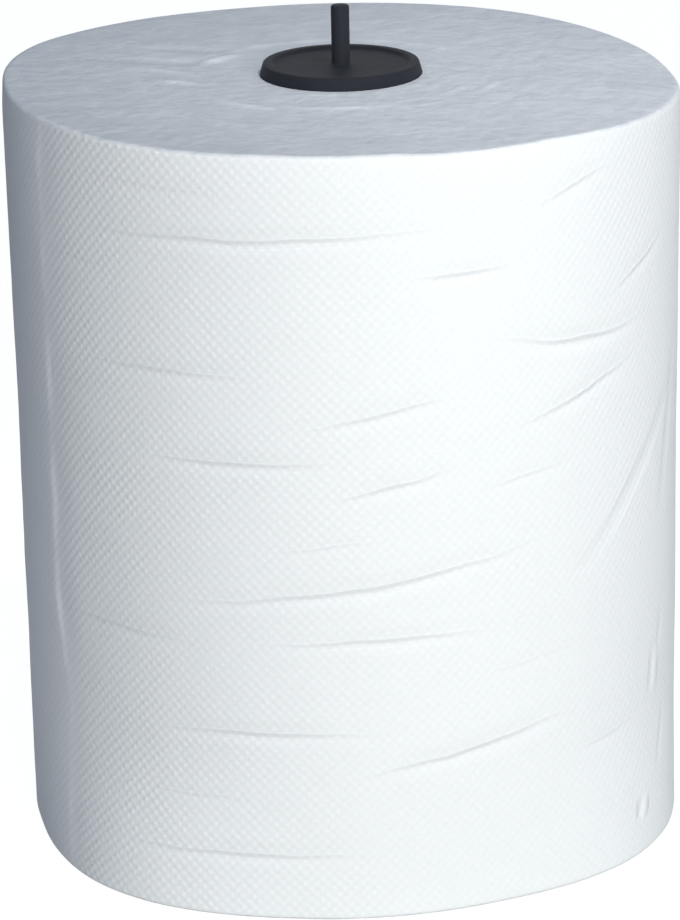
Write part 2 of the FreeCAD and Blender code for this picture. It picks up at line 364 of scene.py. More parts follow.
# %% From a row to a radius and a height
def half_section(row, given):
    """Shares walked, radius, height, and 1 on the wall but 0 on the end faces."""
    radius, height, core = given["Roll Radius"], given["Roll Height"], given["Core Radius"]
    soft = given["Edge Softness"]
    walked = {}
    start = 0
    for name, count in ROWS:
        walked[name] = between(row, start, start + count)
        start += count
    quarter = math.pi / 2
    flat = radius - soft - core
    turned_r = (core + flat * walked["lower face"] + soft * sine(walked["lower edge"] * quarter)
                - soft * cosine(walked["upper edge"] * quarter).one_minus()
                - flat * walked["upper face"])
    turned_z = (soft * cosine(walked["lower edge"] * quarter).one_minus()
                + (height - soft * 2.0) * walked["wall"]
                + soft * sine(walked["upper edge"] * quarter) - height * walked["bore"])
    wall = walked["lower edge"] * walked["upper edge"].one_minus()
    return walked, turned_r, turned_z, wall


# %% [markdown]
# ## The free edge
#
# The web is torn off at its end, so the free edge is not a ruled line. It strays sideways,
# drifts to the right near the foot, and stands off the turn below plainly in one place
# and hardly at all in the next. Columns that come near the edge follow its line, and the
# last few turn down over it. It could be a separate strip laid on the wall, but then the
# step would have a seam that the real one-piece web doesn't have.

# %% Once round from the free edge
EDGE_STRAY = 1.7 * MM
# upper and lower height of a drift in millimetres, and its size in degrees
EDGE_DRIFTS = [(78, 45, 3.3), (20, 8, 1.3)]
# height and half height in millimetres of the stretch that stands off most
EDGE_PLAINEST = (109, 17)
# heights in millimetres between which the step fades to half towards the foot
EDGE_FADING = (66, 46)


def edge_stray(tree, at_height, turned_z, seed):
    """How far the free edge strays from an upright line, as an angle."""
    stray = soft_noise(tree, at_height, 55.0, 3.0, seed) * (EDGE_STRAY / roll_radius)
    for upper, lower, drift in EDGE_DRIFTS:
        stray = stray + between(turned_z, upper * MM, lower * MM) * math.radians(drift)
    return stray


def edge_strength(tree, at_height, turned_z, seed):
    """How plainly the free edge stands off, never quite 0."""
    strength = soft_noise(tree, at_height, 42.0, 3.0, seed + 1.0) * 1.7 + 0.5
    middle, half = EDGE_PLAINEST
    strength = larger(strength + bell(turned_z, middle * MM, half * MM) * 0.5, 0.05)
    upper, lower = EDGE_FADING
    return strength * (between(turned_z, upper * MM, lower * MM) * -0.5 + 1.0)


def around(tree, given, column, turned_z):
    """The share of the turn, the share past its edge, the angle, and the edge's step."""
    main = between(column, 0, COLUMNS - EDGE_COLUMNS)
    over = between(column, COLUMNS - EDGE_COLUMNS, COLUMNS)
    down = cosine(over * math.pi) * -0.5 + 0.5
    edge_angle = given["Free Edge Width"] / given["Roll Radius"]
    at_height = vector_of(tree, 0.0, 0.0, turned_z)
    near_edge = (main - 0.5) * 2.0
    for _ in range(4):
        near_edge = near_edge * near_edge
    angle = (given["Free Edge Angle"] + (-edge_angle + 2 * math.pi) * main + edge_angle * over
             + edge_stray(tree, at_height, turned_z, given["Seed"]) * near_edge)
    lifted = larger(main * (2 * math.pi) + given["Lift Angle"] - 2 * math.pi, 0.0)
    lift = cosine(lifted).one_minus() / cosine(given["Lift Angle"]).one_minus()
    walked_round = main * given["Roll Radius"] * (2 * math.pi)
    valley = bell(walked_round, 1.0 * MM, 5.5 * MM) + down * 0.967
    step = given["Free Edge Step"] * lift * down.one_minus() - valley * given["Valley Depth"]
    return main, over, angle, step * edge_strength(tree, at_height, turned_z, given["Seed"])


# %% [markdown]
# ## Swellings and the pressed end
#
# The rows of the two tables above become formulas here. A bulge fades out both round the
# roll and up the wall. The upper end was pressed down at the right, most of all at its
# outermost turns, and stands up a little at the left.

# %% Bulges, dips and tilt
def squash(angle, height):
    """How far the soft roll bulges beyond a true cylinder, in metres."""
    swells = []
    for direction, half, level, reach, rise in BULGES:
        facing = cosine(angle - math.radians(direction))
        along = between(facing, math.cos(math.radians(half)), 1.0)
        upright = bell(height, level * MM, reach * MM)
        swells.append(along * along * upright * upright * (rise * MM))
    return total_of(swells)


def rim_dip(angle):
    """How far the upper rim dips, in metres."""
    return total_of(bell(angle, math.radians(middle), math.radians(half)) * (deep * MM)
                    for middle, half, deep in RIM_DIPS)


def top_tilt(given, x_way, angle, far_out):
    """How far the upper end stands above flat, in metres, with x as a share of the radius."""
    pressed_down = between(x_way, 0.22, 1.03)
    raised = between(-x_way, 0.43, 1.03)
    return (raised * raised * given["Raised Side"] - rim_dip(angle) * far_out * far_out
            - pressed_down * pressed_down * pressed_down * given["Pressed Side"])


# %% [markdown]
# ## Which crease is near
#
# A crease is far thinner than the grid's cells, but its distance is a plain slope that
# the grid carries very well. So each point of the wall keeps two numbers: how many widths
# it lies above the nearest crease, and how deep that crease is there. The paper material
# makes the fine lip of the fold from them, and the grid itself takes the wide dent.

# %% One step of the search for the nearest crease
# beyond this many widths a crease no longer shows, and its depth fades over the last ones
REACH = 5.0
FADING_WIDTHS = 1.8
# past its ends a crease counts as this many widths further off for each half length
PAST_THE_END = 20.0


def nearest_crease_group():
    numbers = ["Angle", "Height", "Direction", "Level", "Half Angle", "Rise", "Sag", "Width",
               "Depth", "Slant", "Nearness So Far", "Offset So Far", "Depth So Far"]
    tree, given = new_tree(
        "nearest_crease", "GeometryNodeTree", [(n, "NodeSocketFloat", 0.0) for n in numbers],
        [(n, "NodeSocketFloat") for n in ("Nearness", "Offset", "Depth")])
    along = (given["Angle"] - given["Direction"]) / given["Half Angle"]
    fading = larger((along * along).one_minus(), 0.0)
    line = given["Level"] + along * given["Rise"] * 0.5 + along * along * given["Sag"]
    offset = (given["Height"] - line) * given["Slant"] / given["Width"]
    away = offset.sum_of("ABSOLUTE")
    beyond = larger(along.sum_of("ABSOLUTE") - 1.0, 0.0)
    nearness = -(away + beyond * PAST_THE_END)
    depth = given["Depth"] * fading * fading * between(away, REACH, REACH - FADING_WIDTHS)
    found = nearness.sum_of("GREATER_THAN", given["Nearness So Far"])
    finish_tree(
        tree,
        Nearness=larger(nearness, given["Nearness So Far"]),
        Offset=given["Offset So Far"] + (offset - given["Offset So Far"]) * found,
        Depth=given["Depth So Far"] + (depth - given["Depth So Far"]) * found)
    return tree


nearest_crease = nearest_crease_group()


def try_crease(tree, angle, height, crease, so_far):
    """One crease against the nearest one so far: nearness, offset in widths, depth."""
    direction, level, half, rise, sag, width, deep = crease
    run = 2 * math.radians(half) * roll_radius
    step = use_group(
        tree, nearest_crease, Angle=angle, Height=height,
        Direction=math.radians(direction - 270), Level=level * MM,
        Half_Angle=math.radians(half), Rise=rise * MM, Sag=sag * MM, Width=width * MM,
        Depth=deep * MM, Slant=math.cos(math.atan2(rise * MM, run)),
        Nearness_So_Far=so_far[0], Offset_So_Far=so_far[1], Depth_So_Far=so_far[2])
    return tuple(out(tree, step, name) for name in ("Nearness", "Offset", "Depth"))


NOTHING_YET = (-10000.0, REACH, 0.0)


def find_creases(tree, angle, height):
    """How many widths a point lies above the nearest crease, and that crease's depth."""
    found = NOTHING_YET
    for crease in CREASES:
        found = try_crease(tree, angle, height, crease, found)
    offset = found[1].sum_of("MINIMUM", REACH).sum_of("MAXIMUM", -REACH)
    return offset, found[2]


print("one step of the search has", len(nearest_crease.nodes), "nodes")

# %% [markdown]
# ## The upper end face
#
# Seen from above, the web's edges are pressed into one soft face. Pushing the plug in has
# raised low stretches of single turns 37 to 44 mm from the axis, with a fainter one close
# to the plug, and a few shallow folds run outwards at the left. All of them are tenths of
# a millimetre, but they catch the low light. They are part of the mesh, because a bump
# alone would not show at the edge of their light.

# %% Relief of the upper end face
# direction of the middle, half angle, radius, width and height of raised turns
RAISED_TURNS = [
    (318, 30, 43.4, 1.4, 0.42),
    (268, 26, 40.4, 2.2, 0.40),
    (230, 18, 43.5, 2.2, 0.38),
    (86, 60, 40.6, 1.7, 0.42),
    (312, 28, 37.3, 1.3, 0.30),
    (300, 60, 25.2, 1.6, 0.12),
    (134, 17, 42.6, 1.9, 0.60),
    (112, 19, 40.2, 1.9, 0.60),
]
# x and y of both ends, width across and height of folds; negative sinks
FOLDS = [
    (-52, 35.5, -33, 28.5, 3.4, -0.85),
    (-68, 22.6, -38, 14.0, 3.6, -0.85),
    (-48, 24.0, -36, 19.5, 2.6, 0.26),
    (-58, 10.6, -42, 3.0, 2.4, 0.34),
    (-50, -5.6, -40, -8.5, 2.2, 0.50),
    (-40, 12.5, -29, 24.5, 2.6, 0.55),
    (25, 6.2, 35, -1.0, 2.0, -0.40),
]


def raised_turn(radius, angle, broken, direction, half, ring, width, rise):
    """One stretch of a raised turn, in millimetres."""
    along = between(cosine(angle - math.radians(direction)), math.cos(math.radians(half)), 1.0)
    along = along * (-along + 2.0)
    return bell(radius, ring * MM, width * MM) * along * broken * rise


def fold(x, y, x_start, y_start, x_end, y_end, width, rise):
    """One shallow fold from end to end, in millimetres."""
    run_x, run_y = (x_end - x_start) / 2, (y_end - y_start) / 2
    half = math.hypot(run_x, run_y)
    run_x, run_y = run_x / half, run_y / half
    from_x = x - (x_start + x_end) / 2 * MM
    from_y = y - (y_start + y_end) / 2 * MM
    along = bell(from_x * run_x + from_y * run_y, 0.0, half * 1.3 * MM)
    across = bell(from_y * run_x - from_x * run_y, 0.0, width * MM)
    return along * across * rise


def end_face_relief(tree, x, y, radius, angle, seed):
    """Height of the end face above flat, and the height in millimetres of its turns and folds, which
    the end material paints as light and shade.
    """
    place = vector_of(tree, x, y, 0.0)
    uneven = soft_noise(tree, place, 45.0, 2.0, seed + 9.0) * (0.10 * MM)
    wander = soft_noise(tree, place, 60.0, 1.0, seed + 2.0) * (0.8 * MM)
    broken = between(soft_noise(tree, place, 75.0, 2.0, seed + 4.0), -0.35, 0.45) + 0.15
    ridge_height = total_of(
        [raised_turn(radius + wander, angle, broken, *row) for row in RAISED_TURNS]
        + [fold(x, y + wander, *row) for row in FOLDS])
    return uneven + ridge_height * MM, ridge_height


# %% [markdown]
# ## Numbers kept for the materials
#
# The materials need to know things that only the grid's formula knows: where the wall is,
# which crease is near, how strongly the embossing stands out and how high the end face's
# turns and folds stand. Named attributes carry them on the points, and they stay on the
# plain mesh. The embossing is pressed flat beside the free edge and made fainter towards
# the front, where the light is brightest, which stands in for bright light washing it out.

# %% Keep a number on every point
def store(tree, geometry, name, value):
    """Keep a number on every point under a name, for the materials to read."""
    node = add_node(tree, "GeometryNodeStoreNamedAttribute", Geometry=geometry, Name=name,
                    Value=value)
    return out(tree, node)


def stored(tree, name):
    return out(tree, add_node(tree, "GeometryNodeInputNamedAttribute", Name=name))


def turn_from_edge(tree, main, over):
    """The angle from the free edge, counted the short way round."""
    once = (main - main.sum_of("ROUND")) * (2 * math.pi)
    return once * (-over.sum_of("CEIL") + 1.0)


def embossing_strength(tree, on_roll, angle, turn, seed):
    """How strongly the embossing stands out, about 1."""
    pressed = (between(turn, math.radians(4), 0.0)
               * between(turn, math.radians(-50), math.radians(-25)))
    dot_strength = soft_noise(tree, on_roll, 30.0, 3.0, seed + 6.0) * 0.7
    # fainter towards the front, where the light is brightest: a stand-in for bright light washing out
    # the dots and their painted shade
    front = bell(angle, math.radians(292), math.radians(60)) * -0.55 + 1.0
    return (dot_strength + 1.0) * (-pressed * 0.6 + 1.0) * front * 1.3


# %% [markdown]
# ## The whole formula
#
# The tree puts the steps together: grid, half section, once round the axis, out of true,
# creases, end face, kept numbers. Its last nodes weld the seam, realize the result, smooth
# it and set the two paper materials. Every size that can be set is a named input.

# %% The web's tree
WEB_INPUTS = [
    ("Geometry", "NodeSocketGeometry", None),
    ("Roll Radius", "NodeSocketFloat", roll_radius),
    ("Roll Height", "NodeSocketFloat", roll_height),
    ("Core Radius", "NodeSocketFloat", core_radius),
    ("Edge Softness", "NodeSocketFloat", 1.1 * MM),
    ("Free Edge Angle", "NodeSocketFloat", math.radians(211.5)),
    ("Free Edge Step", "NodeSocketFloat", 0.24 * MM),
    ("Free Edge Width", "NodeSocketFloat", 3.6 * MM),
    ("Valley Depth", "NodeSocketFloat", 0.16 * MM),
    ("Lift Angle", "NodeSocketFloat", math.radians(60)),
    ("Unevenness", "NodeSocketFloat", 0.35 * MM),
    ("Pressed Side", "NodeSocketFloat", 3.9 * MM),
    ("Raised Side", "NodeSocketFloat", 0.75 * MM),
    ("Seed", "NodeSocketFloat", 3.0),
    ("Wall Material", "NodeSocketMaterial", None),
    ("End Material", "NodeSocketMaterial", None),
]
# how far below the upper end its tilt and the last draw-in of the rim begin
TILT_DEPTH = 80 * MM
RIM_DEPTH = 11 * MM
RIM_DRAW_IN = 0.5 * MM
# the part of a crease's depth that is a wide dent in the mesh
DENT_SHARE = 0.9
# the end face's relief begins between these radii, clear of the plug's flange
RELIEF_START = (21.5 * MM, 23.0 * MM)
WELD = 0.01 * MM


def finish_web(tree, given, geometry):
    """Weld, realize, smooth and set the materials."""
    welded = add_node(tree, "GeometryNodeMergeByDistance", Geometry=geometry, Distance=WELD)
    real = add_node(tree, "GeometryNodeRealizeInstances", Geometry=out(tree, welded))
    smooth = add_node(tree, "GeometryNodeSetShadeSmooth", Geometry=out(tree, real))
    painted = add_node(tree, "GeometryNodeSetMaterial", Geometry=out(tree, smooth),
                       Material=given["Wall Material"])
    is_end = stored(tree, "wall").sum_of("LESS_THAN", 0.8)
    painted = add_node(tree, "GeometryNodeSetMaterial", Geometry=out(tree, painted),
                       Selection=is_end, Material=given["End Material"])
    finish_tree(tree, Geometry=out(tree, painted))


def build_web_tree():
    tree, given = new_tree("wound_web", "GeometryNodeTree", WEB_INPUTS,
                           [("Geometry", "NodeSocketGeometry")])
    tree.is_modifier = True
    radius, height, seed = given["Roll Radius"], given["Roll Height"], given["Seed"]
    mesh, column, row = web_grid(tree)
    walked, turned_r, turned_z, wall = half_section(row, given)
    main, over, angle, step = around(tree, given, column, turned_z)

    # The paper is soft, so the roll is never quite true
    round_x, round_y = cosine(angle), sine(angle)
    on_roll = vector_of(tree, round_x * radius, round_y * radius, turned_z)
    uneven = soft_noise(tree, on_roll, 14.0, 1.0, seed) * given["Unevenness"]
    dents = soft_noise(tree, on_roll, 70.0, 2.0, seed + 5.0) * given["Unevenness"] * 0.35
    far_out = between(turned_r, given["Core Radius"], radius)
    tilt = top_tilt(given, round_x * (turned_r / radius), angle, far_out)
    near_top = between(turned_z, height - TILT_DEPTH, height)
    turned_z = turned_z + tilt * near_top * near_top
    near_rim = between(turned_z, height - RIM_DEPTH, height)
    bulge = squash(angle, turned_z) - near_rim * near_rim * RIM_DRAW_IN

    # Creases, with a little waver along them
    waver = soft_noise(tree, on_roll, 75.0, 2.0, seed + 3.0) * (1.1 * MM)
    offset, depth = find_creases(tree, angle - 1.5 * math.pi, turned_z + waver)
    dent = bell(offset, -0.6, 4.6) * depth * DENT_SHARE
    full_r = turned_r + bulge * far_out + (step + uneven + dents - dent) * wall

    # The relief of the upper end face
    x, y = round_x * full_r, round_y * full_r
    upper = (walked["upper edge"] * between(turned_r, *RELIEF_START)
             * walked["bore"].one_minus())
    relief, ridge_height = end_face_relief(tree, x, y, turned_r, angle, seed)
    full_z = turned_z + relief * upper

    dot_strength = embossing_strength(tree, on_roll, angle, turn_from_edge(tree, main, over), seed)
    numbers = {"wall": wall, "crease_offset": offset, "crease_depth": depth * wall,
               "dot_strength": dot_strength, "ridge_height": ridge_height * upper}
    for name, value in numbers.items():
        mesh = store(tree, mesh, name, value)
    moved = add_node(tree, "GeometryNodeSetPosition", Geometry=mesh,
                     Position=vector_of(tree, x, y, full_z))
    finish_web(tree, given, out(tree, moved))
    return tree


web_tree = build_web_tree()
print("web tree:", len(web_tree.nodes), "nodes")

# %% [markdown]
# ## Paper
#
# The towel is two soft plies pressed between rolls with a fine diamond pattern of dots,
# 2.2 mm apart on both diagonals. The dots are too fine for the mesh, so they are a height
# that a Bump node reads. The number of dots round the roll is whole, so the pattern meets
# itself. The two families of ribs that cross in a dot aren't equally high: those that
# rise to the right are the higher ones, most of all at the far left. The embossing, the
# lip of a crease, the steep wrinkles and the edges of the turns are separate groups. Each
# gives a height, and the materials add them up.

# %% The height of the embossing
DOTS_ROUND = 190


def embossing_group():
    tree, given = new_tree(
        "embossed_dots", "ShaderNodeTree",
        [("Angle", "NodeSocketFloat", 0.0), ("Height", "NodeSocketFloat", 0.0)],
        [("Dot", "NodeSocketFloat")],
    )
    across = given["Angle"] * DOTS_ROUND
    up = given["Height"] * (DOTS_ROUND / roll_radius)
    rising, falling = cosine(across - up), cosine(across + up)
    # 0 at the far left, 1 over the rest of the wall
    inner = between(given["Angle"], math.radians(-56), math.radians(-30))
    waves = (falling * (inner * 0.34 + 0.5) + rising * (inner * -0.15 + 1.25)
             + rising * falling * 0.35)
    finish_tree(tree, Dot=waves * 0.25)
    return tree


embossing = embossing_group()
print("embossing:", DOTS_ROUND, "dots round the roll")

# %% [markdown]
# ## The lip of a crease
#
# In a crease the paper is pressed into a wide dent and folds up a little in its middle.
# The fold stands up as a fine lip with a steep upper side and a flatter lower one, and
# the paper below it sinks a little. The group turns the two numbers kept on the points
# into that section. The lip is narrower than the listed width and a little lower than the
# listed depth, because the dent in the mesh already gives a part of both. The flank of
# the fold gathers shade, which the group puts out as a mask for the colour.

# %% The section of a crease
LIP_TIGHTNESS = 1.6
LIP_SHARE = 0.8
LOWER_FLANK = -0.5
SINK_SHARE = 0.32
FULLY_DARK_HEIGHT = 0.22 * MM


def crease_lip_group():
    tree, given = new_tree(
        "crease_lip", "ShaderNodeTree",
        [("Offset", "NodeSocketFloat", 0.0), ("Depth", "NodeSocketFloat", 0.0)],
        [("Relief", "NodeSocketFloat"), ("Shade", "NodeSocketFloat")],
    )
    offset, height = given["Offset"] * LIP_TIGHTNESS, given["Depth"] * LIP_SHARE
    lip = larger(larger(offset, offset * LOWER_FLANK).one_minus(), 0.0)
    sunk = bell(offset, -3.0, 1.9)
    finish_tree(tree, Relief=height * (lip - sunk * SINK_SHARE),
                Shade=between(lip, 0.1, 1.0) * between(height, 0.0, FULLY_DARK_HEIGHT))
    return tree


crease_lip = crease_lip_group()
print("crease lip:", len(crease_lip.nodes), "nodes")

# %% [markdown]
# ## The section of a steep wrinkle
#
# The steep wrinkles run along the grid's columns, and these are as far apart as a wrinkle
# is wide. So the material works them out from the angle and the height: a soft trough
# across a leaning line, fading out towards both of its ends.

# %% The section of a steep wrinkle
def wrinkle_group():
    numbers = ["Angle", "Height", "Direction", "Level", "Half Height", "Lean", "Half Width",
               "Depth"]
    tree, given = new_tree("steep_wrinkle", "ShaderNodeTree",
                           [(n, "NodeSocketFloat", 0.0) for n in numbers],
                           [("Relief", "NodeSocketFloat")])
    along = (given["Height"] - given["Level"]) / given["Half Height"]
    across = (given["Angle"] - given["Direction"]) * roll_radius - along * given["Lean"]
    sunk = bell(along, 0.0, 1.0) * bell(across / given["Half Width"], 0.0, 1.0)
    finish_tree(tree, Relief=-(sunk * given["Depth"]))
    return tree


steep_wrinkle = wrinkle_group()


def wrinkle_relief(tree, angle, height):
    """All the steep wrinkles together, in metres."""
    reliefs = []
    for direction, level, half, lean, width, depth in WRINKLES:
        step = use_group(tree, steep_wrinkle, Angle=angle, Height=height,
                         Direction=math.radians(direction - 270), Level=level * MM,
                         Half_Height=half * MM, Lean=lean * MM, Half_Width=width * MM,
                         Depth=depth * MM)
        reliefs.append(out(tree, step))
    return total_of(reliefs)


print("steep wrinkle:", len(steep_wrinkle.nodes), "nodes")

# %% [markdown]
# ## The edges of the turns
#
# On the end faces hundreds of turns lie edge on. They show as fine rings, never quite
# even, among soft clouds of fibres, and one spiral line is a little deeper where the web
# was slack. Rings come from a noise that changes only with the radius.

# %% The height of the turns' edges
TURN_FIRST = 27.0 * MM
TURN_PITCH = 10.6 * MM


def ring_noise(tree, radius, scale, detail):
    """Noise that changes only with the radius."""
    node = tree.nodes.new("ShaderNodeTexNoise")
    node.noise_dimensions = "1D"
    feed(tree, node.inputs["W"], radius)
    feed(tree, node.inputs["Scale"], scale)
    feed(tree, node.inputs["Detail"], detail)
    return (out(tree, node, 0) - 0.5) * 2.0


def turn_edges_group():
    tree, given = new_tree(
        "turn_edges", "ShaderNodeTree",
        [("Place", "NodeSocketVector", None), ("Angle", "NodeSocketFloat", 0.0),
         ("Radius", "NodeSocketFloat", 0.0)],
        [("Relief", "NodeSocketFloat"), ("Shade", "NodeSocketFloat")],
    )
    wander = soft_noise(tree, given["Place"], 22.0, 2.0) * (0.9 * MM)
    fine = ring_noise(tree, given["Radius"] + wander, 1300.0, 1.0)
    broad = ring_noise(tree, given["Radius"] + wander, 230.0, 1.0)
    turns = (given["Radius"] - TURN_FIRST) / TURN_PITCH - given["Angle"] / (2 * math.pi)
    offset = turns - turns.sum_of("ROUND")
    line = larger((offset.sum_of("ABSOLUTE") / 0.05).one_minus(), 0.0)
    fibres = soft_noise(tree, given["Place"], 300.0, 3.0, 7.0)
    clouds = soft_noise(tree, given["Place"], 110.0, 1.0, 5.0)
    relief = (fine * 0.02 + broad * 0.03 + fibres * 0.23 + clouds * 0.36 - line * 0.02) * MM
    shade = fine * 0.1 + broad * 0.1 + fibres * 0.8 + clouds * 0.8 - line * 0.06
    finish_tree(tree, Relief=relief, Shade=shade)
    return tree


turn_edges = turn_edges_group()
print("turn edges:", len(turn_edges.nodes), "nodes")

# %% [markdown]
# ## Starting a material
#
# Every material here has one Principled shader and reads Object coordinates, so a pattern
# stays with its piece. Shared by all are an empty material, the place with its angle and
# radius, a number kept on the mesh, a mix of two colours, and a Bump node that takes a
# height in metres.

# %% Tools for materials
def new_material(name):
    material = bpy.data.materials.new(name)
    material.use_nodes = True
    tree = material.node_tree
    tree.nodes.clear()
    shader = tree.nodes.new("ShaderNodeBsdfPrincipled")
    surface = tree.nodes.new("ShaderNodeOutputMaterial")
    tree.links.new(shader.outputs[0], surface.inputs["Surface"])
    return material, tree, shader


def object_place(tree):
    """The object coordinates as a vector, the height, the angle and the radius."""
    place = out(tree, tree.nodes.new("ShaderNodeTexCoord"), "Object")
    parts = add_node(tree, "ShaderNodeSeparateXYZ", Vector=place)
    x, y, z = (out(tree, parts, axis) for axis in "XYZ")
    # the angle is 0 at the front and grows towards the right
    angle = x.sum_of("ARCTAN2", -y)
    radius = (x * x + y * y).sum_of("SQRT")
    return place, z, angle, radius


def kept(tree, name):
    """A number that the mesh keeps on its points."""
    node = tree.nodes.new("ShaderNodeAttribute")
    node.attribute_name = name
    return out(tree, node, "Fac")


def mix_colour(tree, share, first, second):
    node = tree.nodes.new("ShaderNodeMix")
    node.data_type = "RGBA"
    feed(tree, node.inputs[0], share)
    for socket, value in ((node.inputs[6], first), (node.inputs[7], second)):
        feed(tree, socket, value if isinstance(value, Term) else (*value, 1.0))
    return Term(tree, node.outputs[2])


def bump(tree, relief):
    """A normal from a height in metres."""
    node = add_node(tree, "ShaderNodeBump", Strength=1.0, Distance=1.0, Height=relief)
    return out(tree, node, "Normal")


print("material tools ready")

# %% [markdown]
# ## The paper of the wall
#
# White tissue is matt and lets a little light through. Light that travels inside a tissue
# costs much time for paper this thick, so the hollows between the dots get painted shade:
# two close whites mixed by the height of the dots, a dot brighter than the hollow beside
# it. The flank of a crease gets a greyer painted shade. Fibres break the pattern up.

# %% The material of the wall
PAPER = (0.930, 0.950, 0.955)
# the white of the hollows between the dots, painted shade
PAPER_HOLLOW_PAINTED_SHADE = (0.840, 0.868, 0.885)
PAPER_SHADE = (0.640, 0.670, 0.700)
DOT_HEIGHT = 0.09 * MM


def wall_material():
    material, tree, shader = new_material("embossed_paper")
    place, z, angle, radius = object_place(tree)
    uneven = soft_noise(tree, place, 330.0, 1.0, 4.0) * 0.9 + 1.0
    dot = out(tree, use_group(tree, embossing, Angle=angle, Height=z))
    dot = dot * kept(tree, "dot_strength") * uneven
    creased = use_group(tree, crease_lip, Offset=kept(tree, "crease_offset"),
                        Depth=kept(tree, "crease_depth"))
    fibres = soft_noise(tree, place, 1300.0, 2.0, 2.0)
    relief = dot * DOT_HEIGHT + out(tree, creased, "Relief") + fibres * (0.02 * MM)
    relief = relief + wrinkle_relief(tree, angle, z)
    # the dots' height paints shade into the hollows between them; the fibres add a real tone
    share = dot * 0.62 + fibres * 0.45 + 0.45
    colour = mix_colour(tree, share, PAPER_HOLLOW_PAINTED_SHADE, PAPER)
    colour = mix_colour(tree, out(tree, creased, "Shade") * 0.40, colour, PAPER_SHADE)
    feed(tree, shader.inputs["Base Color"], colour)
    feed(tree, shader.inputs["Roughness"], fibres * 0.05 + 0.88)
    feed(tree, shader.inputs["Normal"], bump(tree, relief))
    shader.inputs["Specular IOR Level"].default_value = 0.2
    return material


wall_paper = wall_material()
print("wall paper:", len(wall_paper.node_tree.nodes), "nodes")

# %% [markdown]
# ## The paper's edges on the end faces
#
# A stack of cut edges is rougher than the flat paper, and its white is a little greyer:
# painted shade between the edges of the turns, with clouds where the turns were squeezed.
# A turn that stands up gets a painted highlight, and a fold that sinks gets painted shade.

# %% The material of the end faces
# END_FACE is greyer than the wall's paper and END_FACE_DARK greyer still: painted shade between the
# turns' edges
END_FACE = (0.900, 0.925, 0.935)
END_FACE_DARK = (0.760, 0.795, 0.820)
# painted highlight on turns and folds that stand up
PAINTED_RIDGE_LIGHT = (0.980, 0.990, 0.990)


def end_material():
    material, tree, shader = new_material("paper_edges")
    place, z, angle, radius = object_place(tree)
    turns = use_group(tree, turn_edges, Place=place, Angle=angle, Radius=radius)
    ridge_height = kept(tree, "ridge_height")
    # the even half share towards the darker grey is painted shade between the turns; rings, fibres and
    # clouds vary it
    colour = mix_colour(tree, out(tree, turns, "Shade") * 0.6 + 0.5, END_FACE, END_FACE_DARK)
    # turns and folds that stand up get a painted highlight, folds that sink get painted shade
    colour = mix_colour(tree, between(ridge_height, 0.0, 0.5), colour, PAINTED_RIDGE_LIGHT)
    colour = mix_colour(tree, between(ridge_height, 0.0, -0.8), colour, END_FACE_DARK)
    feed(tree, shader.inputs["Base Color"], colour)
    feed(tree, shader.inputs["Roughness"], out(tree, turns, "Shade") * 0.04 + 0.9)
    feed(tree, shader.inputs["Normal"], bump(tree, out(tree, turns, "Relief")))
    shader.inputs["Specular IOR Level"].default_value = 0.15
    return material


end_paper = end_material()
print("end paper:", len(end_paper.node_tree.nodes), "nodes")

# %% [markdown]
# ## Bend the grid into the web
#
# The tree runs once, as a modifier on an empty object whose inputs are set by their
# identifiers. It takes the place of the solid web.
#
# A grid that is bent shut can end up inside out. Whether its faces point outwards is
# measured on the whole mesh: only then does it enclose a positive volume.

# %% Bend the grid into the web
def plain_mesh_from(tree, name, **inputs):
    """Run a geometry tree once and keep the result as a plain mesh object."""
    holder = bpy.data.objects.new(name + "_start", bpy.data.meshes.new(name + "_start"))
    bpy.context.scene.collection.objects.link(holder)
    modifier = holder.modifiers.new("build", "NODES")
    modifier.node_group = tree
    for item in tree.interface.items_tree:
        label = item.name.replace(" ", "_")
        if item.in_out == "INPUT" and label in inputs:
            modifier[item.identifier] = inputs[label]
    bpy.context.view_layer.update()
    ready = holder.evaluated_get(bpy.context.evaluated_depsgraph_get())
    mesh = bpy.data.meshes.new_from_object(ready, preserve_all_data_layers=True,
                                           depsgraph=bpy.context.evaluated_depsgraph_get())
    mesh.name = name
    holder.modifiers.remove(modifier)
    bpy.data.objects.remove(holder)
    piece = bpy.data.objects.new(name, mesh)
    bpy.context.scene.collection.objects.link(piece)
    return piece


def enclosed_volume(mesh):
    """Litres inside a closed mesh, negative where its faces point inwards."""
    return sum(p.center.dot(p.normal) * p.area for p in mesh.polygons) / 3 * 1000


web = plain_mesh_from(web_tree, "wound_web", Wall_Material=wall_paper,
                      End_Material=end_paper)
if enclosed_volume(web.data) < 0:
    web.data.flip_normals()
web.data.shade_smooth()
triangles = sum(len(p.vertices) - 2 for p in web.data.polygons)
print("web:", triangles, "triangles round", round(enclosed_volume(web.data), 2), "litres")
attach(web, "root")
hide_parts("paper_roll")

# %% [markdown]
# ## Cardboard
#
# The core is wound from strips of grey-brown board, so a thin helical joint climbs its
# wall. It shows in the bore and at the lower end, where it is cut square.

# %% The cardboard core
STRIP_RISE = 62 * MM


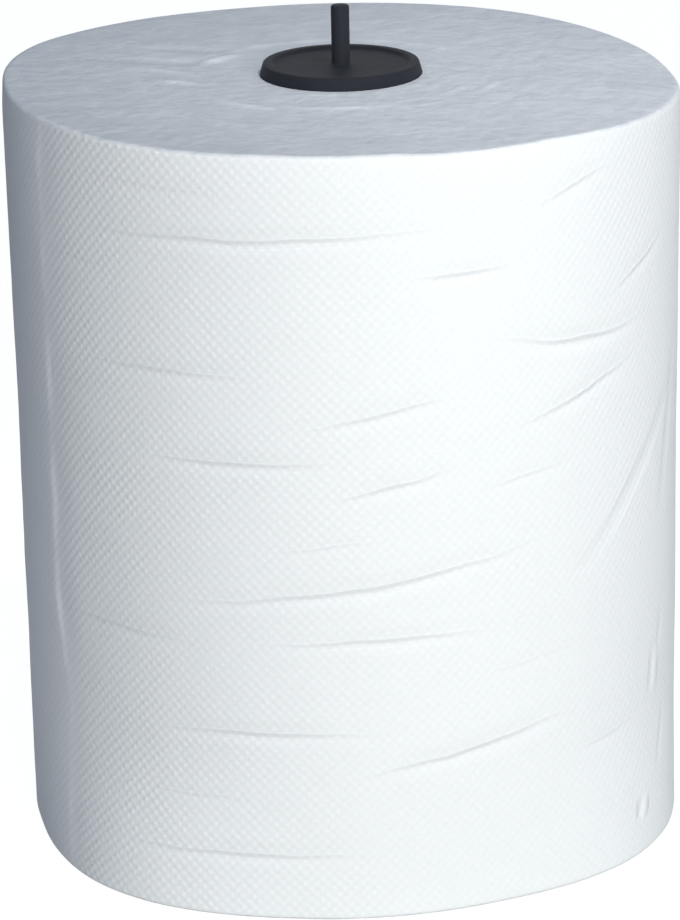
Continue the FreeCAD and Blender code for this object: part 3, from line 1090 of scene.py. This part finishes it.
def cardboard_material():
    material, tree, shader = new_material("core_board")
    place, z, angle, radius = object_place(tree)
    climb = z / STRIP_RISE + angle / (2 * math.pi)
    offset = (climb - climb.sum_of("ROUND")).sum_of("ABSOLUTE")
    joint = larger((offset / 0.012).one_minus(), 0.0)
    fibres = soft_noise(tree, place, 1500.0, 4.0)
    clouds = soft_noise(tree, place, 130.0, 3.0, 3.0)
    share = fibres * 0.25 + clouds * 0.25 + 0.4 + joint * 0.4
    colour = mix_colour(tree, share, (0.56, 0.47, 0.36), (0.36, 0.28, 0.20))
    feed(tree, shader.inputs["Base Color"], colour)
    feed(tree, shader.inputs["Roughness"], clouds * 0.05 + 0.88)
    relief = (fibres * 0.03 - joint * 0.15) * MM
    feed(tree, shader.inputs["Normal"], bump(tree, relief))
    shader.inputs["Specular IOR Level"].default_value = 0.2
    return material


board = cardboard_material()
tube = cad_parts["core_tube"]
for place in tube.material_slots:
    place.material = board
print("core keeps its solid, with", len(tube.material_slots), "material slot")

# %% [markdown]
# ## The end plug
#
# The plug is one moulding whose dished flange, pin and barrel are all round. Moulded
# corners are never sharp. So the half section is listed corner by corner with a radius
# for each, the corners are rounded, and the line is turned round the axis. A bevel on the
# solid would do the same, but its width can't follow each corner as a list can.

# %% Turn a half section round the axis
def rounded_section(corners, steps=4):
    """Points along a half section whose corners (r, z, rounding) are rounded, in metres."""
    points = []
    for number, (r, z, rounding) in enumerate(corners):
        here = Vector((r, z)) * MM
        if rounding == 0:
            points.append(here)
            continue
        before = Vector(corners[number - 1][:2]) * MM - here
        after = Vector(corners[(number + 1) % len(corners)][:2]) * MM - here
        half = before.angle(after) / 2
        cut = min(rounding * MM / math.tan(half), 0.45 * before.length, 0.45 * after.length)
        start = here + before.normalized() * cut
        end = here + after.normalized() * cut
        for step in range(steps + 1):
            share = step / steps
            points.append(start.lerp(here, share).lerp(here.lerp(end, share), share))
    return points


def turned_piece(name, corners, columns):
    """A closed mesh turned from a half section that starts and ends on the axis."""
    section = rounded_section(corners)
    vertices = [(0, 0, section[0].y)]
    faces = []
    rings = section[1:-1]
    for point in rings:
        for column in range(columns):
            turn = 2 * math.pi * column / columns
            vertices.append((point.x * math.cos(turn), point.x * math.sin(turn), point.y))
    last = len(vertices)
    vertices.append((0, 0, section[-1].y))
    for column in range(columns):
        beside = (column + 1) % columns
        faces.append((0, 1 + column, 1 + beside))
        for ring in range(len(rings) - 1):
            low = 1 + ring * columns
            high = low + columns
            faces.append((low + column, high + column, high + beside, low + beside))
        foot = 1 + (len(rings) - 1) * columns
        faces.append((foot + column, last, foot + beside))
    mesh = bpy.data.meshes.new(name)
    mesh.from_pydata(vertices, [], faces)
    mesh.update()
    piece = bpy.data.objects.new(name, mesh)
    bpy.context.scene.collection.objects.link(piece)
    return piece


# %% [markdown]
# ## The corners of the plug
#
# From the tip of the pin the section runs down to the dished flange, out to its rim, down
# the outside of the barrel and up again inside it, where the barrel is hollow. Radii and
# heights repeat the construction, and what a box could give is taken from the frame.

# %% The plug's half section
top = roll_height / MM
rim = top + 3.4
tip = pin_tip / MM
dish = rim - 0.8
mouth = barrel_mouth / MM
PLUG_SECTION = [
    # radius, height, rounding, all in millimetres, from the tip of the pin downwards
    (0, tip, 0),
    (2.5, tip, 0.7),
    (2.5, dish, 0.9),
    (18.2, dish, 0.5),
    (19.0, rim, 0.35),
    (21.2, rim, 0.6),
    (flange_radius / MM, top, 0.15),
    (18.45, top, 0),
    (18.45, mouth + 1.0, 0.2),
    (17.95, mouth, 0.2),
    (16.85, mouth, 0.2),
    (16.85, top, 0.5),
    (0, top, 0),
]
plug = turned_piece("plug_moulding", PLUG_SECTION, 128)
print("plug:", len(plug.data.polygons), "faces")

# %% [markdown]
# ## The gripping ribs
#
# Eight upright bars round the barrel bite into the core. They are only plain boxes joined
# on to the turned mesh, because nothing of them shows while the plug is in the core.

# %% Ribs on the barrel
RIBS = 8
RIB_INNER = 18.1 * MM
RIB_OUTER = 19.22 * MM
RIB_WIDTH = 1.6 * MM
RIB_FOOT = barrel_mouth + 3 * MM
RIB_HEAD = roll_height - 0.2 * MM


def add_ribs(piece, count, low, high, inner, outer, width):
    """Join plain upright bars on to a turned piece, evenly round it."""
    vertices = [tuple(v.co) for v in piece.data.vertices]
    faces = [tuple(p.vertices) for p in piece.data.polygons]
    for number in range(count):
        turn = Matrix.Rotation(2 * math.pi * number / count, 3, "Z")
        base = len(vertices)
        for z in (low, high):
            for r, side in ((inner, -1), (outer, -1), (outer, 1), (inner, 1)):
                vertices.append(tuple(turn @ Vector((r, side * width / 2, z))))
        a = [base + k for k in range(8)]
        faces += [(a[3], a[2], a[1], a[0]), (a[4], a[5], a[6], a[7])]
        for k in range(4):
            j = (k + 1) % 4
            faces.append((a[k], a[j], a[4 + j], a[4 + k]))
    piece.data.clear_geometry()
    piece.data.from_pydata(vertices, [], faces)
    piece.data.update()


add_ribs(plug, RIBS, RIB_FOOT, RIB_HEAD, RIB_INNER, RIB_OUTER, RIB_WIDTH)
plug.data.shade_smooth()
plug.data.set_sharp_from_angle(angle=math.radians(50))
print("plug with ribs:", len(plug.data.polygons), "faces")

# %% [markdown]
# ## Black plastic
#
# The plug is moulded in black polypropylene with a fine spark-eroded grain. It is not
# quite black: a little grey-blue, slightly uneven, and with paper dust on what faces up.

# %% The plug's material
def plastic_material():
    material, tree, shader = new_material("black_moulding")
    place, z, angle, radius = object_place(tree)
    grain = soft_noise(tree, place, 3200.0, 2.0)
    clouds = soft_noise(tree, place, 150.0, 3.0, 5.0)
    specks = between(soft_noise(tree, place, 1100.0, 2.0, 8.0), 0.42, 0.6)
    normal = out(tree, tree.nodes.new("ShaderNodeNewGeometry"), "Normal")
    facing_up = out(tree, add_node(tree, "ShaderNodeSeparateXYZ", Vector=normal), "Z")
    dust = specks * between(facing_up, 0.4, 0.9) * between(clouds, -0.2, 0.6)
    plain = mix_colour(tree, clouds * 0.5 + 0.5, (0.020, 0.0225, 0.029), (0.029, 0.031, 0.040))
    colour = mix_colour(tree, dust * 0.12, plain, (0.30, 0.32, 0.34))
    feed(tree, shader.inputs["Base Color"], colour)
    feed(tree, shader.inputs["Roughness"], clouds * 0.06 + dust * 0.2 + 0.6)
    feed(tree, shader.inputs["Normal"], bump(tree, grain * (0.012 * MM)))
    shader.inputs["Specular IOR Level"].default_value = 0.05
    return material


plastic = plastic_material()
plug.data.materials.append(plastic)
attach(plug, "root")
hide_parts("end_plug")
print("plastic:", len(plastic.node_tree.nodes), "nodes")

# %% [markdown]
# ## The floor
#
# A cut-out photograph stands on white. The floor is pale grey, takes the roll's shadow and
# throws a little light back on the foot. A glow that only the camera and clear or glossy
# surfaces see lifts it to white, so that it doesn't light the roll.

# %% The floor
def floor_material():
    material, tree, shader = new_material("pale_floor")
    shader.inputs["Base Color"].default_value = (0.28, 0.29, 0.30, 1.0)
    shader.inputs["Roughness"].default_value = 0.9
    shader.inputs["Specular IOR Level"].default_value = 0.0
    glow = add_node(tree, "ShaderNodeEmission", Color=(1.0, 1.0, 1.0, 1.0))
    rays = tree.nodes.new("ShaderNodeLightPath")
    seen = out(tree, rays, "Is Camera Ray") + out(tree, rays, "Is Glossy Ray")
    seen = seen + out(tree, rays, "Is Transmission Ray")
    feed(tree, glow.inputs["Strength"], seen * 0.92)
    both = tree.nodes.new("ShaderNodeAddShader")
    tree.links.new(shader.outputs[0], both.inputs[0])
    tree.links.new(glow.outputs[0], both.inputs[1])
    surface = next(n for n in tree.nodes if n.type == "OUTPUT_MATERIAL")
    tree.links.new(both.outputs[0], surface.inputs["Surface"])
    return material


floor_mesh = bpy.data.meshes.new("floor")
FLOOR = 6.0
floor_mesh.from_pydata(
    [(-FLOOR, -FLOOR, 0), (FLOOR, -FLOOR, 0), (FLOOR, FLOOR, 0), (-FLOOR, FLOOR, 0)],
    [], [(0, 1, 2, 3)])
floor = bpy.data.objects.new("floor", floor_mesh)
bpy.context.scene.collection.objects.link(floor)
floor_mesh.materials.append(floor_material())

# %% [markdown]
# ## The light
#
# The wall is bright all round its front and the end face stays grey, so the light comes
# from the front and low: one large soft lamp a little to the right of the camera. A small
# lamp fills the right side, a soft spot lights the end face from the upper right, and a
# faint one from the back left stands for light off the table. The sky is cool and even,
# for the shadow side, and white only where the camera sees it.

# %% The light
def sky():
    world = bpy.data.worlds.new("studio")
    bpy.context.scene.world = world
    world.use_nodes = True
    tree = world.node_tree
    tree.nodes.clear()
    rays = tree.nodes.new("ShaderNodeLightPath")
    seen = larger(out(tree, rays, "Is Camera Ray"), out(tree, rays, "Is Transmission Ray"))
    seen = larger(seen, out(tree, rays, "Is Glossy Ray"))
    cool = add_node(tree, "ShaderNodeBackground", Color=(0.206, 0.239, 0.300, 1.0), Strength=1.0)
    white = add_node(tree, "ShaderNodeBackground", Color=(1.0, 1.0, 1.0, 1.0), Strength=1.0)
    mix = tree.nodes.new("ShaderNodeMixShader")
    feed(tree, mix.inputs[0], seen)
    tree.links.new(cool.outputs[0], mix.inputs[1])
    tree.links.new(white.outputs[0], mix.inputs[2])
    end = tree.nodes.new("ShaderNodeOutputWorld")
    tree.links.new(mix.outputs[0], end.inputs["Surface"])


def soft_lamp(name, place, width, height, power, colour):
    """An area lamp at a place in metres, aimed at the middle of the roll."""
    lamp = bpy.data.lights.new(name, "AREA")
    lamp.shape = "RECTANGLE"
    lamp.size = width
    lamp.size_y = height
    lamp.energy = power
    lamp.color = colour
    piece = bpy.data.objects.new(name, lamp)
    piece.location = place
    way = Vector(place) - Vector((0, 0, roll_height / 2))
    piece.rotation_euler = way.to_track_quat("Z", "Y").to_euler()
    bpy.context.scene.collection.objects.link(piece)


def place_round(azimuth, elevation, distance):
    """A place seen from the roll's middle; the azimuth runs from the front to the right."""
    a, e = math.radians(azimuth), math.radians(elevation)
    way = Vector((math.sin(a) * math.cos(e), -math.cos(a) * math.cos(e), math.sin(e)))
    return Vector((0, 0, roll_height / 2)) + way * distance


def pool_lamp(name, place, aim, cone, power, colour):
    """A soft spot whose light fades towards the edge of its pool."""
    lamp = bpy.data.lights.new(name, "SPOT")
    lamp.spot_size = math.radians(cone)
    lamp.spot_blend = 1.0
    lamp.shadow_soft_size = 0.08
    lamp.energy = power
    lamp.color = colour
    piece = bpy.data.objects.new(name, lamp)
    piece.location = place
    way = Vector(place) - Vector(aim)
    piece.rotation_euler = way.to_track_quat("Z", "Y").to_euler()
    bpy.context.scene.collection.objects.link(piece)


sky()
soft_lamp("key", place_round(14, 5, 1.8), 1.35, 0.75, 31.0, (1.0, 0.99, 0.94))
soft_lamp("right fill", place_round(105, 6, 0.8), 0.3, 0.3, 0.65, (1.0, 0.99, 0.97))
pool_lamp("overhead", (0.308, -0.312, 1.015), (0.042, -0.012, 0.21), 24, 12.4, (0.98, 0.98, 0.97))
pool_lamp("table bounce", (-0.6, 0.45, 0.06), (-0.088, -0.01, 0.045), 15, 2.3, (0.97, 0.98, 1.0))

# %% [markdown]
# ## The camera
#
# The camera was fitted to the outline of the roll in the photograph: it stands about a
# metre away, looks down by 18.8 degrees and leans by one degree.

# %% The camera
LOOK_DOWN = math.radians(18.754)
LEAN = math.radians(-1.054)
AIM = Vector((-2.23, 0, 98.89)) * MM
DISTANCE = 1099.5 * MM
FOCAL_PIXELS = 3911.6
FRAME_HEIGHT = 920

forward = Vector((0, math.cos(LOOK_DOWN), -math.sin(LOOK_DOWN)))
level_right = Vector((1, 0, 0))
level_up = level_right.cross(forward)
camera_right = level_right * math.cos(LEAN) + level_up * math.sin(LEAN)
camera_up = level_up * math.cos(LEAN) - level_right * math.sin(LEAN)
camera_data = bpy.data.cameras.new("camera")
camera_data.sensor_width = 36.0
camera_data.lens = FOCAL_PIXELS / FRAME_HEIGHT * camera_data.sensor_width
camera = bpy.data.objects.new("camera", camera_data)
turn = Matrix((camera_right, camera_up, -forward)).transposed()
camera.matrix_world = Matrix.Translation(AIM - forward * DISTANCE) @ turn.to_4x4()
bpy.context.scene.collection.objects.link(camera)
bpy.context.scene.camera = camera
bpy.context.scene.view_settings.view_transform = "Standard"
print("camera at", [round(v, 3) for v in camera.matrix_world.translation])
